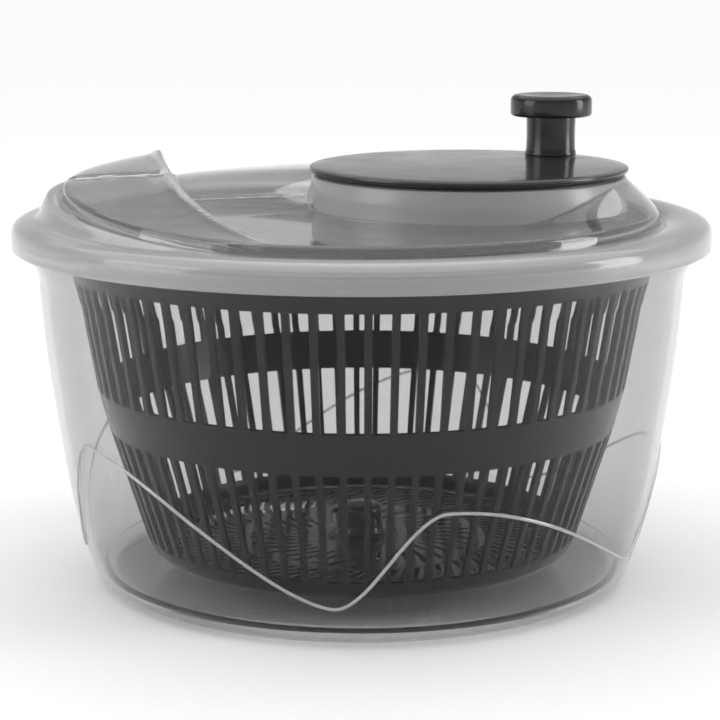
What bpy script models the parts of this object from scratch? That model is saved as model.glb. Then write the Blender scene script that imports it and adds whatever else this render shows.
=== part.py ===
"""Salad spinner: clear bowl, slatted basket, clear lid with an off-centre crank.

The crank disc carries an internal ring gear which drives a small pinion on the
lid's centre. The pinion turns the drive plate, whose lugs turn the basket.
Metres, +Z up. The origin is the centre of the bowl's base on the table.
"""

from math import atan2, cos, hypot, pi, radians, sin

import bmesh
import bpy
from mathutils import Matrix, Vector

MM = 0.001

# ---- driving dimensions, in millimetres ----
CLEAR = 0.3                 # gap between neighbouring pieces

BOWL_WALL = 2.6
BOWL_OUTLINE = [(92, 0), (99.2, 2.4), (103.6, 9), (107.3, 22), (111.8, 43), (117.9, 86),
                (120.6, 118)]
BOWL_RIM_R, BOWL_RIM_LOW, BOWL_RIM_TOP = 125.6, 128.0, 132.0
FLOOR_TOP = 3.2
PIN_R, PIN_TOP = 4.0, 21.0
PIN_BOSS_R, PIN_BOSS_TOP = 10.0, 6.0

SLATS = 36                  # upright slats around the basket, every second real one
SLAT_SHARE = 0.30           # part of each pitch that is slat, the rest is slot
BASKET_WALL = 2.2
BASKET_OUTLINE = [(74, 10.4), (80.4, 13.2), (82.8, 18), (95.8, 59.5), (99.9, 75),
                  (107.0, 118), (107.6, 129.2), (110.4, 131.6), (110.4, 134.8)]
SLOT_ROWS = (2, 4)          # outline spans that are open between the slats
HUB_R, HUB_TOP, HUB_BORE, HUB_ROOF = 10.0, 27.0, 6.6, 24.0
LEDGE_IN, LEDGE_LOW, LEDGE_TOP = 100.4, 121.6, 123.8
LUGS = 4
NOTCH_ANGLE, LUG_ANGLE = radians(15), radians(10.5)

LID_R, LID_LOW, LID_SIDE_TOP = 130.0, 127.0, 133.6
LID_WALL = 2.2
PLATE_R, PLATE_Z = 110.0, 140.4
CRANK_X = 40.0              # the crank turns off the lid's centre
TOWER_R, TOWER_TOP, TOWER_WALL = 58.7, 152.2, 2.0
POST_R, POST_TOP, POST_BORE, POST_SINK_R, POST_SINK_TOP = 12.0, 148.2, 6.4, 9.8, 142.4
PINION_HOLE = 5.8
FLARE_RISE, FLARE_MIDDLE = 10.8, radians(62)
FLARE_HALF, FLARE_FADE = radians(140), radians(52)
FLARE_HOLLOW, FLARE_FULL, FLARE_HOLLOW_END = 0.90, 0.42, radians(30)   # slope's shape
HOOD_R, HOOD_RISE = 121.5, 9.8
HOOD_BACK, HOOD_CREST, HOOD_END = radians(137.5), radians(174), radians(258)
SWOOSH = ((-76.0, 78.0), (-60.0, -24.0), (-26.0, -106.0))   # inner edge of the hood
LID_SEGMENTS = 44

DISC_R, DISC_LOW, DISC_TOP = 59.5, 152.8, 155.6
SPIGOT_R, SPIGOT_END = 4.1, 140.9
MODULE = 2.0
RING_TEETH, PINION_TEETH = 52, 12
RING_OUT, RING_LOW, RING_WEB_LOW, RING_TOP, RING_WEB_IN = 56.0, 144.4, 150.9, 152.5, 43.0
PINION_LOW, PINION_TOP = 142.0, 149.2
TOOTH_REACH = 0.85 * MODULE
BACKLASH = 0.45
GEAR_SCREWS, GEAR_SCREW_R = 4, 47.0

KNOB_X, KNOB_Y = 73.4, 34.0
KNOB_POST_R, KNOB_POST_TOP = 4.5, 168.6
STEM_R, STEM_TOP = 9.5, 172.6
CAP_R, CAP_LOW, CAP_SOCKET, CAP_TOP = 15.7, 171.2, 173.8, 179.4

PLATE_LOW, PLATE_TOP, DRIVE_R = 134.4, 136.4, 103.4
SHAFT_R, SHAFT_END = 4.0, 130.2

SMOOTH_ANGLE = radians(35)


# ---- materials and small helpers ----
def material(name, colour, roughness, metallic=0.0):
    """Principled material with the piece's colour, roughness and metallic value."""
    made = bpy.data.materials.new(name)
    made.use_nodes = True
    shader = made.node_tree.nodes["Principled BSDF"]
    shader.inputs["Base Color"].default_value = (*colour, 1.0)
    shader.inputs["Roughness"].default_value = roughness
    shader.inputs["Metallic"].default_value = metallic
    made.diffuse_color = (*colour, 1.0)
    return made


def add_object(name, mesh_data, finish, at=(0, 0, 0)):
    """Turn a bmesh in millimetres into a named object whose origin is at a point."""
    bmesh.ops.remove_doubles(mesh_data, verts=mesh_data.verts, dist=1e-4)
    bmesh.ops.recalc_face_normals(mesh_data, faces=mesh_data.faces)
    mesh_data.transform(Matrix.Scale(MM, 4) @ Matrix.Translation(-Vector(at)))
    mesh = bpy.data.meshes.new(name)
    mesh_data.to_mesh(mesh)
    mesh_data.free()
    mesh.materials.append(finish)
    mesh.shade_smooth()
    mesh.set_sharp_from_angle(angle=SMOOTH_ANGLE)
    made = bpy.data.objects.new(name, mesh)
    bpy.context.collection.objects.link(made)
    made.location = Vector(at) * MM
    return made


def turned(outline, segments, centre=(0, 0)):
    """Spin an (r, z) outline about a vertical axis; an open outline ends on the axis."""
    shape = bmesh.new()
    x, y = centre
    points = [shape.verts.new((x + r, y, z)) for r, z in outline]
    edges = [shape.edges.new(pair) for pair in zip(points, points[1:])]
    if outline[0][0] > 0 or outline[-1][0] > 0:
        edges.append(shape.edges.new((points[-1], points[0])))
    bmesh.ops.spin(shape, geom=points + edges, cent=(x, y, 0), axis=(0, 0, 1),
                   angle=2 * pi, steps=segments, use_merge=True)
    return shape


def tube(r_in, r_out, low, top):
    """Closed outline of a plain ring."""
    return [(r_out, top), (r_out, low), (r_in, low), (r_in, top)]


def rod(radius, low, top):
    """Open outline of a plain cylinder."""
    return [(0, top), (radius, top), (radius, low), (0, low)]


def boolean(target, tool, operation):
    """Leave an exact Boolean on the target, with a hidden wire tool."""
    tool.hide_render = True
    tool.display_type = 'WIRE'
    step = target.modifiers.new(tool.name, 'BOOLEAN')
    step.operation = operation
    step.solver = 'EXACT'
    step.object = tool


def ring_of_points(shape, radius, z, segments, centre_x=0.0, turn=0.0):
    """A circle of vertices, as a list."""
    angles = [turn + 2 * pi * i / segments for i in range(segments)]
    return [shape.verts.new((centre_x + radius * cos(a), radius * sin(a), z))
            for a in angles]


def skin(shape, rings):
    """Join neighbouring rings of vertices with quads."""
    for lower, upper in zip(rings, rings[1:]):
        count = len(lower)
        for i in range(count):
            j = (i + 1) % count
            shape.faces.new((lower[i], lower[j], upper[j], upper[i]))


def inset_outline(outline, wall):
    """Move an (r, z) outline inwards by a wall thickness, from base to rim."""
    moved = []
    for i, (r, z) in enumerate(outline):
        r0, z0 = outline[max(i - 1, 0)]
        r1, z1 = outline[min(i + 1, len(outline) - 1)]
        length = hypot(r1 - r0, z1 - z0)
        moved.append((r - wall * (z1 - z0) / length, z + wall * (r1 - r0) / length))
    return moved


def smoothstep(value):
    """Ease from 0 to 1."""
    value = min(1.0, max(0.0, value))
    return value * value * (3 - 2 * value)


# ---- bowl ----
def build_bowl(finish):
    """Thin bowl with a flanged rim, a flat floor and the basket's pivot pin."""
    outer = BOWL_OUTLINE + [(BOWL_RIM_R, BOWL_RIM_LOW), (BOWL_RIM_R, BOWL_RIM_TOP)]
    inner = [(r - BOWL_WALL, z) for r, z in BOWL_OUTLINE[3:]] + [(122.4, BOWL_RIM_TOP)]
    floor_edge = [(91, FLOOR_TOP), (97.4, 5.4), (100.8, 10.6)]
    pin = [(PIN_BOSS_R, FLOOR_TOP), (PIN_BOSS_R, PIN_BOSS_TOP), (PIN_R, PIN_BOSS_TOP),
           (PIN_R, PIN_TOP), (0, PIN_TOP)]
    outline = [(0, 0)] + outer + inner[::-1] + floor_edge[::-1] + pin
    return add_object("bowl", turned(outline, 44), finish)


# ---- basket ----
def basket_angles():
    """Angles of the slat edges: slat, slot, slat, slot round the basket."""
    pitch = 2 * pi / SLATS
    half = pitch * SLAT_SHARE / 2
    return [i * pitch + side * half for i in range(SLATS) for side in (-1, 1)]


def slot_sides(shape, outer, inner, i, k):
    """The four faces through the wall around one slot."""
    j = (i + 1) % len(outer[0])
    for row in (k, k + 1):
        shape.faces.new((outer[row][i], outer[row][j], inner[row][j], inner[row][i]))
    for side in (i, j):
        shape.faces.new((outer[k][side], outer[k + 1][side],
                         inner[k + 1][side], inner[k][side]))


def slatted_wall(shape, outer, inner):
    """Outer and inner skins, left open at the slots."""
    count = len(outer[0])
    for i in range(count):
        j = (i + 1) % count
        for k in range(len(outer) - 1):
            if i % 2 and k in SLOT_ROWS:
                slot_sides(shape, outer, inner, i, k)
                continue
            for skin_rings in (outer, inner):
                shape.faces.new((skin_rings[k][i], skin_rings[k][j],
                                 skin_rings[k + 1][j], skin_rings[k + 1][i]))


def arc_blocks(r_in, r_out, low, top, spans, steps):
    """Closed blocks bent around the axis, one for each (start, end) angle."""
    shape = bmesh.new()
    for start, end in spans:
        sections = []
        for i in range(steps + 1):
            a = start + (end - start) * i / steps
            sections.append([shape.verts.new((r * cos(a), r * sin(a), z))
                             for r, z in tube(r_in, r_out, low, top)])
        skin(shape, sections)
        shape.faces.new(sections[0])
        shape.faces.new(sections[-1])
    return shape


def build_basket(finish):
    """Basket with two rows of slots, a hub for the pivot and a notched ledge."""
    shape = bmesh.new()
    angles = basket_angles()
    inner_line = inset_outline(BASKET_OUTLINE, BASKET_WALL)
    inner_line[0] = (inner_line[0][0], BASKET_OUTLINE[0][1] + BASKET_WALL)
    inner_line[-1] = (BASKET_OUTLINE[-1][0] - BASKET_WALL, BASKET_OUTLINE[-1][1])
    outer, inner = ([[shape.verts.new((r * cos(a), r * sin(a), z)) for a in angles]
                     for r, z in line] for line in (BASKET_OUTLINE, inner_line))
    slatted_wall(shape, outer, inner)
    skin(shape, [outer[-1], inner[-1]])
    shape.faces.new(outer[0])
    shape.faces.new(inner[0])
    basket = add_object("basket", shape, finish)

    low = BASKET_OUTLINE[0][1]
    hub = add_object("hub_tool", turned(rod(HUB_R, low + 0.5, HUB_TOP), 24), finish)
    bore = add_object("bore_tool", turned(rod(HUB_BORE, low - 5, HUB_ROOF), 24), finish)
    pitch = 2 * pi / LUGS
    spans = [(i * pitch + NOTCH_ANGLE / 2, (i + 1) * pitch - NOTCH_ANGLE / 2)
             for i in range(LUGS)]
    ledge = add_object("ledge_tool", arc_blocks(LEDGE_IN, 106.0, LEDGE_LOW, LEDGE_TOP,
                                                spans, 6), finish)
    boolean(basket, hub, 'UNION')
    boolean(basket, ledge, 'UNION')
    boolean(basket, bore, 'DIFFERENCE')
    return basket


def build_pivot(steel, white):
    """Bush that stands on the bowl's pin, and the clip that keeps it in the hub."""
    bush = [(6.2, 23.6), (6.2, 16.0), (5.0, 15.6), (5.0, FLOOR_TOP + 3.2),
            (4.3, FLOOR_TOP + 3.2), (4.3, PIN_TOP + 0.4), (0, PIN_TOP + 0.4)]
    outline = [(0, 23.6)] + bush
    add_object("pivot_bush", turned(outline, 24), white)
    add_object("pivot_clip", turned(tube(5.4, 9.4, 9.0, 10.3), 24), steel)


# ---- lid ----
def swoosh_side(x, y):
    """Signed distance from the hood's inner edge, positive towards the rim."""
    (x0, y0), (xm, ym), (x1, y1) = SWOOSH
    share = (y - y0) / (y1 - y0)
    bow = xm - (x0 + (x1 - x0) * (ym - y0) / (y1 - y0))
    edge_x = x0 + (x1 - x0) * share + bow * 4 * share * (1 - share)
    return (edge_x - x) * 0.97


def hood_height(x, y):
    """Rise of the clear hood above the lid plate at a point."""
    angle = atan2(y, x) % (2 * pi)
    fall = smoothstep((HOOD_END - angle) / (HOOD_END - HOOD_CREST))
    wall = smoothstep((HOOD_R - hypot(x, y)) / 5.0)
    step = smoothstep(swoosh_side(x, y) / 5.0)
    end = smoothstep((angle - HOOD_BACK) / radians(4))
    return HOOD_RISE * fall * wall * step * end


def tower_share(x, y):
    """0 on the plate's edge and 1 on the tower's wall, along circles between the two."""
    shrink = PLATE_R - TOWER_R
    a = CRANK_X ** 2 - shrink ** 2
    half_b = PLATE_R * shrink - CRANK_X * x
    c = x * x + y * y - PLATE_R ** 2
    root = max(0.0, half_b * half_b - a * c)
    return min(1.0, max(0.0, (-half_b + root ** 0.5) / a))


def flare_height(x, y):
    """Rise of the lid where it sweeps up into the tower, at the right and the back."""
    around = atan2(y, x - CRANK_X) - FLARE_MIDDLE
    around = abs((around + pi) % (2 * pi) - pi)
    facing = smoothstep((FLARE_HALF - around) / FLARE_FADE)
    behind = smoothstep((atan2(y, x - CRANK_X) - FLARE_HOLLOW_END) / FLARE_FADE)
    power = FLARE_HOLLOW + (FLARE_FULL - FLARE_HOLLOW) * behind
    return FLARE_RISE * facing * tower_share(x, y) ** power


def lid_sheets(shape):
    """Rings of the lid's top skin and of its underside, from skirt to tower."""
    rim = [(LID_R, LID_LOW), (LID_R, LID_SIDE_TOP), (128.6, 135.9), (125.4, 137.2),
           (120.0, 137.6), (116.0, 137.2), (113.2, 136.2)]
    under_rim = [(127.8, LID_LOW), (127.8, 133.2), (126.4, 134.2), (124.4, 134.8),
                 (119.4, 135.2), (114.6, 134.8), (112.2, 134.0)]
    shares = (0.0, 0.06, 0.18, 0.34, 0.5, 0.68, 0.84, 1.0)
    top, under = [], []
    for (r, z), (ru, zu) in zip(rim, under_rim):
        top.append(ring_of_points(shape, r, z, LID_SEGMENTS))
        under.append(ring_of_points(shape, ru, zu, LID_SEGMENTS))
    for share in shares:
        r = PLATE_R + (TOWER_R - PLATE_R) * share
        top.append(ring_of_points(shape, r, PLATE_Z, LID_SEGMENTS, CRANK_X * share))
        under.append(ring_of_points(shape, r - 0.8, PLATE_Z - LID_WALL, LID_SEGMENTS,
                                    CRANK_X * share))
    for rings in (top, under):
        for ring in rings[4:]:
            for vert in ring:
                x, y, _ = vert.co
                vert.co.z += hood_height(x, y) + flare_height(x, y)
    for vert in under[-1]:
        vert.co.z = PLATE_Z - LID_WALL
    return top, under


def build_lid(finish):
    """Lid: skirt, rim, plate with the hood, crank tower, post and pinion hole."""
    shape = bmesh.new()
    top, under = lid_sheets(shape)
    inside = TOWER_R - TOWER_WALL
    top.append(ring_of_points(shape, TOWER_R, TOWER_TOP, LID_SEGMENTS, CRANK_X))
    top.append(ring_of_points(shape, inside, TOWER_TOP, LID_SEGMENTS, CRANK_X))
    top.append(ring_of_points(shape, inside, PLATE_Z, LID_SEGMENTS, CRANK_X))
    skin(shape, top)
    skin(shape, under)
    skin(shape, [top[0], under[0]])
    shape.faces.new(top[-1])
    shape.faces.new(under[-1])
    lid = add_object("lid", shape, finish)

    floor_low = PLATE_Z - LID_WALL
    post = add_object("post_tool", turned(rod(POST_R, floor_low + 0.4, POST_TOP), 24,
                                          (CRANK_X, 0)), finish)
    sink = add_object("sink_tool", turned([(0, 150), (POST_BORE, 150),
                                           (POST_BORE, POST_SINK_TOP),
                                           (POST_SINK_R, POST_SINK_TOP),
                                           (POST_SINK_R, 130), (0, 130)], 24,
                                          (CRANK_X, 0)), finish)
    hole = add_object("hole_tool", turned(rod(PINION_HOLE, 130, 145), 24), finish)
    boolean(lid, post, 'UNION')
    boolean(lid, sink, 'DIFFERENCE')
    boolean(lid, hole, 'DIFFERENCE')
    return lid


# ---- crank ----
def toothed_ring(shape, teeth, z, inward, centre_x, first):
    """One level of a gear's edge: root, tip, tip, root for each softened tooth."""
    pitch_r = MODULE * teeth / 2
    tip, root = TOOTH_REACH - BACKLASH, -TOOTH_REACH - BACKLASH
    if inward:
        tip, root = -tip, -root
    points = []
    for tooth in range(teeth):
        for part, reach in ((-0.32, root), (-0.11, tip), (0.11, tip), (0.32, root)):
            angle = 2 * pi * (tooth + first + part) / teeth
            r = pitch_r + reach
            points.append(shape.verts.new((centre_x + r * cos(angle), r * sin(angle), z)))
    return points


def toothed_annulus(shape, teeth, ring):
    """Flat faces between a toothed edge and a plain ring with one point per tooth."""
    count = len(ring)
    for i in range(count):
        j = (i + 1) % count
        shape.faces.new(teeth[4 * i:4 * i + 4] + [teeth[4 * j], ring[j], ring[i]])


def build_ring_gear(finish):
    """Internal gear: a toothed ring under a thin web that screws to the disc."""
    shape = bmesh.new()
    teeth_low, teeth_top = (toothed_ring(shape, RING_TEETH, z, True, CRANK_X, 0.5)
                            for z in (RING_LOW, RING_WEB_LOW))
    plain = [ring_of_points(shape, r, z, RING_TEETH, CRANK_X, pi / RING_TEETH)
             for r, z in ((RING_OUT, RING_LOW), (RING_OUT, RING_TOP),
                          (RING_WEB_IN, RING_TOP), (RING_WEB_IN, RING_WEB_LOW))]
    skin(shape, plain)
    skin(shape, [teeth_low, teeth_top])
    toothed_annulus(shape, teeth_low, plain[0])
    toothed_annulus(shape, teeth_top, plain[-1])
    gear = add_object("ring_gear", shape, finish, (CRANK_X, 0, RING_LOW))
    for i, place in enumerate(gear_screw_places()):
        tool = turned(rod(1.6, RING_WEB_LOW - 1, RING_TOP + 1), 8, place)
        boolean(gear, add_object(f"gear_hole_tool_{i + 1}", tool, finish), 'DIFFERENCE')
    return gear


def gear_screw_places():
    """Centres of the screws that hold the ring gear to the disc."""
    return [(CRANK_X + GEAR_SCREW_R * cos(a), GEAR_SCREW_R * sin(a))
            for a in (pi / 4 + i * 2 * pi / GEAR_SCREWS for i in range(GEAR_SCREWS))]


def screw(name, finish, place, head_r, shank_r, head_low, head_top, tip):
    """Round-headed screw whose shank points up from its head, or down if tip is lower."""
    if tip > head_top:
        outline = [(0, tip), (shank_r, tip), (shank_r, head_top), (head_r, head_top),
                   (head_r, head_low), (0, head_low)]
    else:
        outline = [(0, head_top), (head_r, head_top), (head_r, head_low),
                   (shank_r, head_low), (shank_r, tip), (0, tip)]
    return add_object(name, turned(outline, 10, place), finish, (*place, head_low))


def build_crank(dark, white, steel):
    """Crank disc with its spigot and knob post, and the parts that hold it."""
    spigot = [(0, SPIGOT_END + 7), (1.8, SPIGOT_END + 7), (1.8, SPIGOT_END),
              (SPIGOT_R, SPIGOT_END), (SPIGOT_R, 149.0), (12.0, 149.0), (38.0, DISC_LOW)]
    edge = [(DISC_R - 1.2, DISC_LOW), (DISC_R, DISC_LOW + 0.8), (DISC_R, DISC_TOP - 0.8),
            (DISC_R - 0.9, DISC_TOP), (0, DISC_TOP)]
    disc = add_object("crank_disc", turned(spigot + edge, 44, (CRANK_X, 0)), dark,
                      (CRANK_X, 0, DISC_LOW))
    knob_at = (KNOB_X, KNOB_Y)
    post = turned([(0, KNOB_POST_TOP - 12), (1.5, KNOB_POST_TOP - 12), (1.5, KNOB_POST_TOP),
                   (KNOB_POST_R, KNOB_POST_TOP), (KNOB_POST_R, DISC_TOP - 1),
                   (0, DISC_TOP - 1)], 16, knob_at)
    boolean(disc, add_object("knob_post_tool", post, dark), 'UNION')
    for i, place in enumerate(gear_screw_places()):
        tool = turned(rod(1.6, DISC_LOW - 1, DISC_LOW + 1.6), 8, place)
        boolean(disc, add_object(f"disc_hole_tool_{i + 1}", tool, dark), 'DIFFERENCE')
        screw(f"gear_screw_{i + 1}", steel, place, 2.6, 1.3, RING_WEB_LOW - 1.1, RING_WEB_LOW - CLEAR,
              DISC_LOW + 1.3)
    build_ring_gear(white)

    bush = [(9.4, 141.2), (9.4, 142.1), (6.1, 142.1), (6.1, 148.5), (4.4, 148.5), (4.4, 141.2)]
    add_object("crank_bush", turned(bush, 24, (CRANK_X, 0)), white)
    add_object("crank_washer", turned(tube(1.9, 8.4, 139.6, 140.6), 24, (CRANK_X, 0)), steel)
    screw("crank_screw", steel, (CRANK_X, 0), 4.2, 1.5, 138.3, 139.3, 147)


def build_knob(dark, steel):
    """Turning grip: stem, cap, and the washer and screw that hold them on the post."""
    at = (KNOB_X, KNOB_Y)
    base = DISC_TOP + 0.4
    stem = [(STEM_R + 0.7, base), (STEM_R + 0.7, base + 1.6), (STEM_R, base + 2.6),
            (STEM_R, STEM_TOP), (7.5, STEM_TOP), (7.5, KNOB_POST_TOP - 0.2),
            (KNOB_POST_R + CLEAR, KNOB_POST_TOP - 0.2), (KNOB_POST_R + CLEAR, base)]
    add_object("knob_stem", turned(stem, 24, at), dark, (*at, base))
    add_object("knob_washer", turned(tube(1.7, 6.9, KNOB_POST_TOP + 0.3, KNOB_POST_TOP + 1.3),
                                     20, at), steel)
    screw("knob_screw", steel, at, 3.2, 1.2, KNOB_POST_TOP + 1.6, KNOB_POST_TOP + 3.0,
          KNOB_POST_TOP - 9)
    socket_r = STEM_R + 0.4
    cap = [(0, CAP_SOCKET), (socket_r, CAP_SOCKET), (socket_r, CAP_LOW),
           (CAP_R - 0.6, CAP_LOW), (CAP_R, CAP_LOW + 0.7), (CAP_R, CAP_TOP - 2.6),
           (CAP_R - 0.9, CAP_TOP - 0.9), (CAP_R - 2.8, CAP_TOP),
           (0, CAP_TOP)]
    add_object("knob_cap", turned(cap, 28, at), dark, (*at, CAP_LOW))


# ---- pinion and drive plate ----
def build_pinion(white, steel):
    """Pinion with its shaft, the bush in the lid, and the screw below the plate."""
    shape = bmesh.new()
    low, top = (toothed_ring(shape, PINION_TEETH, z, False, 0, 0)
                for z in (PINION_LOW, PINION_TOP))
    skin(shape, [low, top])
    shape.faces.new(low)
    shape.faces.new(top)
    pinion = add_object("pinion", shape, white)
    shaft = turned([(0, 138), (1.7, 138), (1.7, SHAFT_END), (SHAFT_R, SHAFT_END),
                    (SHAFT_R, PINION_LOW + 1), (0, PINION_LOW + 1)], 20)
    boolean(pinion, add_object("shaft_tool", shaft, white), 'UNION')

    bush = [(7.6, 140.7), (7.6, 141.6), (4.3, 141.6), (4.3, 137.2), (5.5, 137.2), (5.5, 140.7)]
    add_object("pinion_bush", turned(bush, 24), white)
    add_object("drive_washer", turned(tube(1.8, 7.6, 128.7, 129.7), 20), steel)
    screw("drive_screw", steel, (0, 0), 4.6, 1.4, 127.1, 128.4, 136)


def build_drive_plate(dark):
    """Plate that closes the basket, with a hub, a turned-down edge and four lugs."""
    outline = [(SHAFT_R + CLEAR, 130.0), (9.0, 130.0), (9.0, PLATE_LOW),
               (DRIVE_R - 2.2, PLATE_LOW), (DRIVE_R - 2.2, 129.0), (DRIVE_R, 129.0),
               (DRIVE_R, PLATE_TOP - 0.6), (DRIVE_R - 0.8, PLATE_TOP),
               (SHAFT_R + CLEAR, PLATE_TOP)]
    plate = add_object("drive_plate", turned(outline, 40), dark)
    pitch = 2 * pi / LUGS
    spans = [(i * pitch - LUG_ANGLE / 2, i * pitch + LUG_ANGLE / 2) for i in range(LUGS)]
    lugs = arc_blocks(DRIVE_R - 2.0, DRIVE_R - 0.1, 119.6, 130.0, spans, 3)
    boolean(plate, add_object("lug_tool", lugs, dark), 'UNION')


def main():
    for old in list(bpy.data.objects):
        bpy.data.objects.remove(old, do_unlink=True)
    clear = material("clear_plastic", (0.80, 0.82, 0.82), 0.08)
    milky = material("milky_clear_plastic", (0.72, 0.74, 0.74), 0.15)
    dark = material("dark_plastic", (0.05, 0.05, 0.055), 0.2)
    white = material("natural_nylon", (0.75, 0.74, 0.70), 0.45)
    steel = material("zinc_steel", (0.62, 0.62, 0.60), 0.35, 1.0)
    build_bowl(clear)
    build_basket(dark)
    build_pivot(steel, white)
    build_lid(milky)
    build_crank(dark, white, steel)
    build_knob(dark, steel)
    build_pinion(white, steel)
    build_drive_plate(dark)


main()
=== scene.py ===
"""Salad spinner: the visible shells, slats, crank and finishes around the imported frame.

Lengths inside the classes are millimetres; meshes are scaled to metres when a piece
is made. Each sub-assembly is a class that builds and dresses its own pieces.
"""

from __future__ import annotations

import logging
from dataclasses import dataclass, field
from enum import Enum
from math import atan2, cos, exp, hypot, pi, radians, sin

import bmesh
import bpy
from mathutils import Matrix, Vector

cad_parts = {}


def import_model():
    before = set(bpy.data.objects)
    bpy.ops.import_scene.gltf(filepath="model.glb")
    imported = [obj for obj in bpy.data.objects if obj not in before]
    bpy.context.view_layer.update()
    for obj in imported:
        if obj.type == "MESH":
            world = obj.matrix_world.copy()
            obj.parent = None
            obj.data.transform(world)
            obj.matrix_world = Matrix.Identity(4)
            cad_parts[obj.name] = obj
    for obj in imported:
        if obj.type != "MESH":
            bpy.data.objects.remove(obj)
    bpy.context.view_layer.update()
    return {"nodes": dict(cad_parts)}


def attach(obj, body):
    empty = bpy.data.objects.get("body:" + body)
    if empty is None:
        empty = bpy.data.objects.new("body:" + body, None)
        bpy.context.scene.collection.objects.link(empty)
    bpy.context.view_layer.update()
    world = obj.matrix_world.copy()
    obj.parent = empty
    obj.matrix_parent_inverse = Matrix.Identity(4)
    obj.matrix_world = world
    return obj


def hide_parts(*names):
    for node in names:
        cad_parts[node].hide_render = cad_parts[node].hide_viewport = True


LOG = logging.getLogger("salad_spinner")
MM = 0.001
SHEEN_ROUGHNESS = 0.3
MOULD_RIPPLE_SCALE = 38.0      # slow waves in clear mouldings, cells per metre
GLOSS_DRIFT_SCALE = 60.0       # patches of gloss on dark mouldings, cells per metre
NOISE_SPREAD = (0.35, 0.65)    # part of the noise that carries the drift
EDGE_SPREAD = (0.35, 0.95)     # facing values between a wall's middle and its edge
EDGE_CLOSE = 1e-4              # points nearer than this are one, in millimetres

Outline = list[tuple[float, float]]


class Body(Enum):
    """The moving bodies that pieces ride on."""

    BOWL = "bowl"
    LID = "lid"
    CRANK = "crank"
    KNOB = "knob"
    DRIVER = "driver"
    BASKET = "basket"


class Slot(Enum):
    """Names of the material slots."""

    CLEAR = "clear_plastic"
    MILKY = "milky_clear_plastic"
    DARK = "dark_plastic"
    NYLON = "natural_nylon"
    STEEL = "zinc_steel"


class Slotting(Enum):
    """How many columns are open in a ring of the basket's faces."""

    SOLID = "solid"
    EVERY = "every slot"
    SECOND = "every second slot"


class LidZone(Enum):
    """The lid's zones, with the place of each one's finish on the mesh."""

    PLATE = 0
    RIM = 1
    TOWER = 2
    RIDGE = 3


# ---------------------------------------------------------------- finishes
def new_material(name: str) -> tuple[bpy.types.Material, bpy.types.Node]:
    """Make a node material.

    Args:
        name: Name of the finish.

    Returns:
        The material and its Principled shader node.
    """
    material = bpy.data.materials.new(name)
    material.use_nodes = True
    return material, material.node_tree.nodes["Principled BSDF"]


def noise_node(material: bpy.types.Material, scale: float, detail: float) -> bpy.types.Node:
    """Add a noise that is fixed to the object.

    Args:
        material: The material to change.
        scale: Size of the noise, in cells per metre.
        detail: How many finer layers the noise has.

    Returns:
        The noise node.
    """
    nodes, links = material.node_tree.nodes, material.node_tree.links
    place = nodes.new("ShaderNodeTexCoord")
    noise = nodes.new("ShaderNodeTexNoise")
    noise.inputs["Scale"].default_value = scale
    noise.inputs["Detail"].default_value = detail
    links.new(place.outputs["Object"], noise.inputs["Vector"])
    return noise


def range_node(tree: bpy.types.NodeTree, source: tuple[float, float],
               target: tuple[float, float]) -> bpy.types.Node:
    """Add a node that maps one range of values to another.

    Args:
        tree: The node tree to change.
        source: First and last value that go in.
        target: First and last value that come out.

    Returns:
        The range node.
    """
    spread = tree.nodes.new("ShaderNodeMapRange")
    spread.inputs["From Min"].default_value, spread.inputs["From Max"].default_value = source
    spread.inputs["To Min"].default_value, spread.inputs["To Max"].default_value = target
    return spread


def add_grain(material: bpy.types.Material, scale: float, height: float) -> None:
    """Give a finish its fine surface relief.

    Args:
        material: The material to change.
        scale: Size of the noise, in cells per metre.
        height: Depth of the relief, in metres.
    """
    nodes, links = material.node_tree.nodes, material.node_tree.links
    noise = noise_node(material, scale, 2.0)
    bump = nodes.new("ShaderNodeBump")
    bump.inputs["Distance"].default_value = height
    bump.inputs["Strength"].default_value = 1.0
    links.new(noise.outputs["Fac"], bump.inputs["Height"])
    links.new(bump.outputs["Normal"], nodes["Principled BSDF"].inputs["Normal"])


def vary_roughness(material: bpy.types.Material, scale: float, low: float,
                   high: float) -> None:
    """Let the gloss drift a little over the surface.

    Args:
        material: The material to change.
        scale: Size of the noise, in cells per metre.
        low: Lowest roughness.
        high: Highest roughness.
    """
    nodes, links = material.node_tree.nodes, material.node_tree.links
    noise = noise_node(material, scale, 3.0)
    spread = range_node(material.node_tree, NOISE_SPREAD, (low, high))
    links.new(noise.outputs["Fac"], spread.inputs["Value"])
    links.new(spread.outputs["Result"], nodes["Principled BSDF"].inputs["Roughness"])


def deepen_edges(material: bpy.types.Material, middle: float, edge: float) -> None:
    """Tint a clear wall more where it is seen at a low angle, through more plastic.

    Args:
        material: A clear material with one Principled shader.
        middle: Tint of a wall seen straight on.
        edge: Tint of a wall seen along its face.
    """
    nodes, links = material.node_tree.nodes, material.node_tree.links
    weight = nodes.new("ShaderNodeLayerWeight")
    spread = range_node(material.node_tree, EDGE_SPREAD, (middle, edge))
    links.new(weight.outputs["Facing"], spread.inputs["Value"])
    links.new(spread.outputs["Result"], nodes["Principled BSDF"].inputs["Base Color"])


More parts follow.
